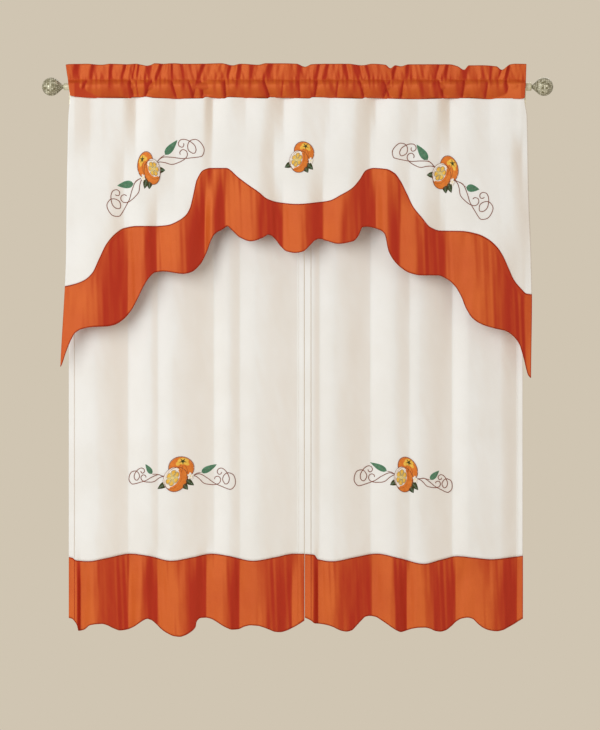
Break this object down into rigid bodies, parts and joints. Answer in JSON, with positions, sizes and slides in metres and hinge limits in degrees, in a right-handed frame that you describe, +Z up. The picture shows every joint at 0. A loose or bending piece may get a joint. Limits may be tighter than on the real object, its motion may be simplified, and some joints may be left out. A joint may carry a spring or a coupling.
{
  "type": "window curtains on a rod",
  "caption": "Kitchen curtain set on a double wall rod with ball finials: a scalloped swag valance in front of tier curtains that draw apart.",
  "frame": {"origin": "on the wall plane, midway between the two brackets, at the height of the rod axes", "axes": "+X along the rods to the right as seen from the room, +Y into the wall, +Z up"},
  "size_m": [1.0222, 0.1034, 1.145],
  "materials": {
    "cream_cloth": "smooth cream polyester with a faint slub",
    "orange_cloth": "burnt orange taffeta with a soft lustre",
    "edge_thread": "dark rust overlock thread",
    "embroidery_thread": "satin stitched thread in oranges, greens and pale yellow",
    "pewter_metal": "antique pewter",
    "finial_mosaic": "crackled mosaic over antique pewter",
    "screw_steel": "satin steel"
  },
  "bodies": {
    "brackets": {"wall_plate_left": "pewter_metal", "bracket_arm_left": "pewter_metal", "arm_screw_left": "screw_steel", "wall_plate_right": "pewter_metal", "bracket_arm_right": "pewter_metal", "arm_screw_right": "screw_steel"},
    "front_rod": {"front_rod_outer_tube": "pewter_metal", "rod_plug_right": "pewter_metal"},
    "front_rod_inner": {"front_rod_inner_tube": "pewter_metal", "rod_plug_left": "pewter_metal"},
    "finial_left": {"finial_left": "finial_mosaic"},
    "finial_right": {"finial_right": "finial_mosaic"},
    "swag": {"swag_header": "orange_cloth", "swag_panel": "cream_cloth", "swag_border": "orange_cloth"},
    "rear_rod": {"rear_rod_outer_tube": "pewter_metal", "rear_cap_right": "pewter_metal"},
    "rear_rod_inner": {"rear_rod_inner_tube": "pewter_metal", "rear_cap_left": "pewter_metal"},
    "tier_left": {"tier_left_header": "orange_cloth", "tier_left_panel": "cream_cloth", "tier_left_band": "orange_cloth", "tier_left_outer_hem": "cream_cloth"},
    "tier_left_edge": {"tier_left_leading_hem": "cream_cloth"},
    "front_cup_screw_left": {"front_cup_screw_left": "screw_steel"},
    "rear_cup_screw_left": {"rear_cup_screw_left": "screw_steel"},
    "tier_right": {"tier_right_header": "orange_cloth", "tier_right_panel": "cream_cloth", "tier_right_band": "orange_cloth", "tier_right_outer_hem": "cream_cloth"},
    "tier_right_edge": {"tier_right_leading_hem": "cream_cloth"},
    "front_cup_screw_right": {"front_cup_screw_right": "screw_steel"},
    "rear_cup_screw_right": {"rear_cup_screw_right": "screw_steel"}
  },
  "joints": [
    {"name": "front_rod_lift", "type": "slide", "parent": "brackets", "child": "front_rod", "axis": [0, 0, 1], "range_m": [0, 0.03]},
    {"name": "front_rod_extend", "type": "slide", "parent": "front_rod", "child": "front_rod_inner", "axis": [-1, 0, 0], "range_m": [0, 0.2]},
    {"name": "finial_left_turn", "type": "hinge", "parent": "front_rod_inner", "child": "finial_left", "pos_m": [-0.466, -0.085, 0], "axis": [1, 0, 0], "continuous": true},
    {"name": "finial_right_turn", "type": "hinge", "parent": "front_rod", "child": "finial_right", "pos_m": [0.466, -0.085, 0], "axis": [1, 0, 0], "continuous": true},
    {"name": "swag_swing", "type": "hinge", "parent": "front_rod", "child": "swag", "pos_m": [0, -0.085, 0], "axis": [-1, 0, 0], "range_deg": [-1, 30]},
    {"name": "rear_rod_lift", "type": "slide", "parent": "brackets", "child": "rear_rod", "axis": [0, 0, 1], "range_m": [0, 0.03]},
    {"name": "rear_rod_extend", "type": "slide", "parent": "rear_rod", "child": "rear_rod_inner", "axis": [-1, 0, 0], "range_m": [0, 0.2]},
    {"name": "tier_left_swing", "type": "hinge", "parent": "rear_rod", "child": "tier_left", "pos_m": [0, -0.045, 0], "axis": [-1, 0, 0], "range_deg": [-1.2, 1.2]},
    {"name": "tier_left_draw", "type": "slide", "parent": "tier_left", "child": "tier_left_edge", "axis": [-1, 0, 0], "range_m": [0, 0.33], "deforming": ["tier_left_header", "tier_left_panel", "tier_left_band"]},
    {"name": "tier_right_swing", "type": "hinge", "parent": "rear_rod", "child": "tier_right", "pos_m": [0, -0.045, 0], "axis": [-1, 0, 0], "range_deg": [-1.2, 1.2]},
    {"name": "tier_right_draw", "type": "slide", "parent": "tier_right", "child": "tier_right_edge", "axis": [1, 0, 0], "range_m": [0, 0.31], "deforming": ["tier_right_header", "tier_right_panel", "tier_right_band"]},
    {"name": "front_cup_screw_left_turn", "type": "hinge", "parent": "brackets", "child": "front_cup_screw_left", "pos_m": [-0.452, -0.085, 0], "axis": [0, 1, 0], "continuous": true},
    {"name": "rear_cup_screw_left_turn", "type": "hinge", "parent": "brackets", "child": "rear_cup_screw_left", "pos_m": [-0.452, -0.045, 0], "axis": [0, 1, 0], "continuous": true},
    {"name": "front_cup_screw_right_turn", "type": "hinge", "parent": "brackets", "child": "front_cup_screw_right", "pos_m": [0.452, -0.085, 0], "axis": [0, 1, 0], "continuous": true},
    {"name": "rear_cup_screw_right_turn", "type": "hinge", "parent": "brackets", "child": "rear_cup_screw_right", "pos_m": [0.452, -0.045, 0], "axis": [0, 1, 0], "continuous": true}
  ]
}
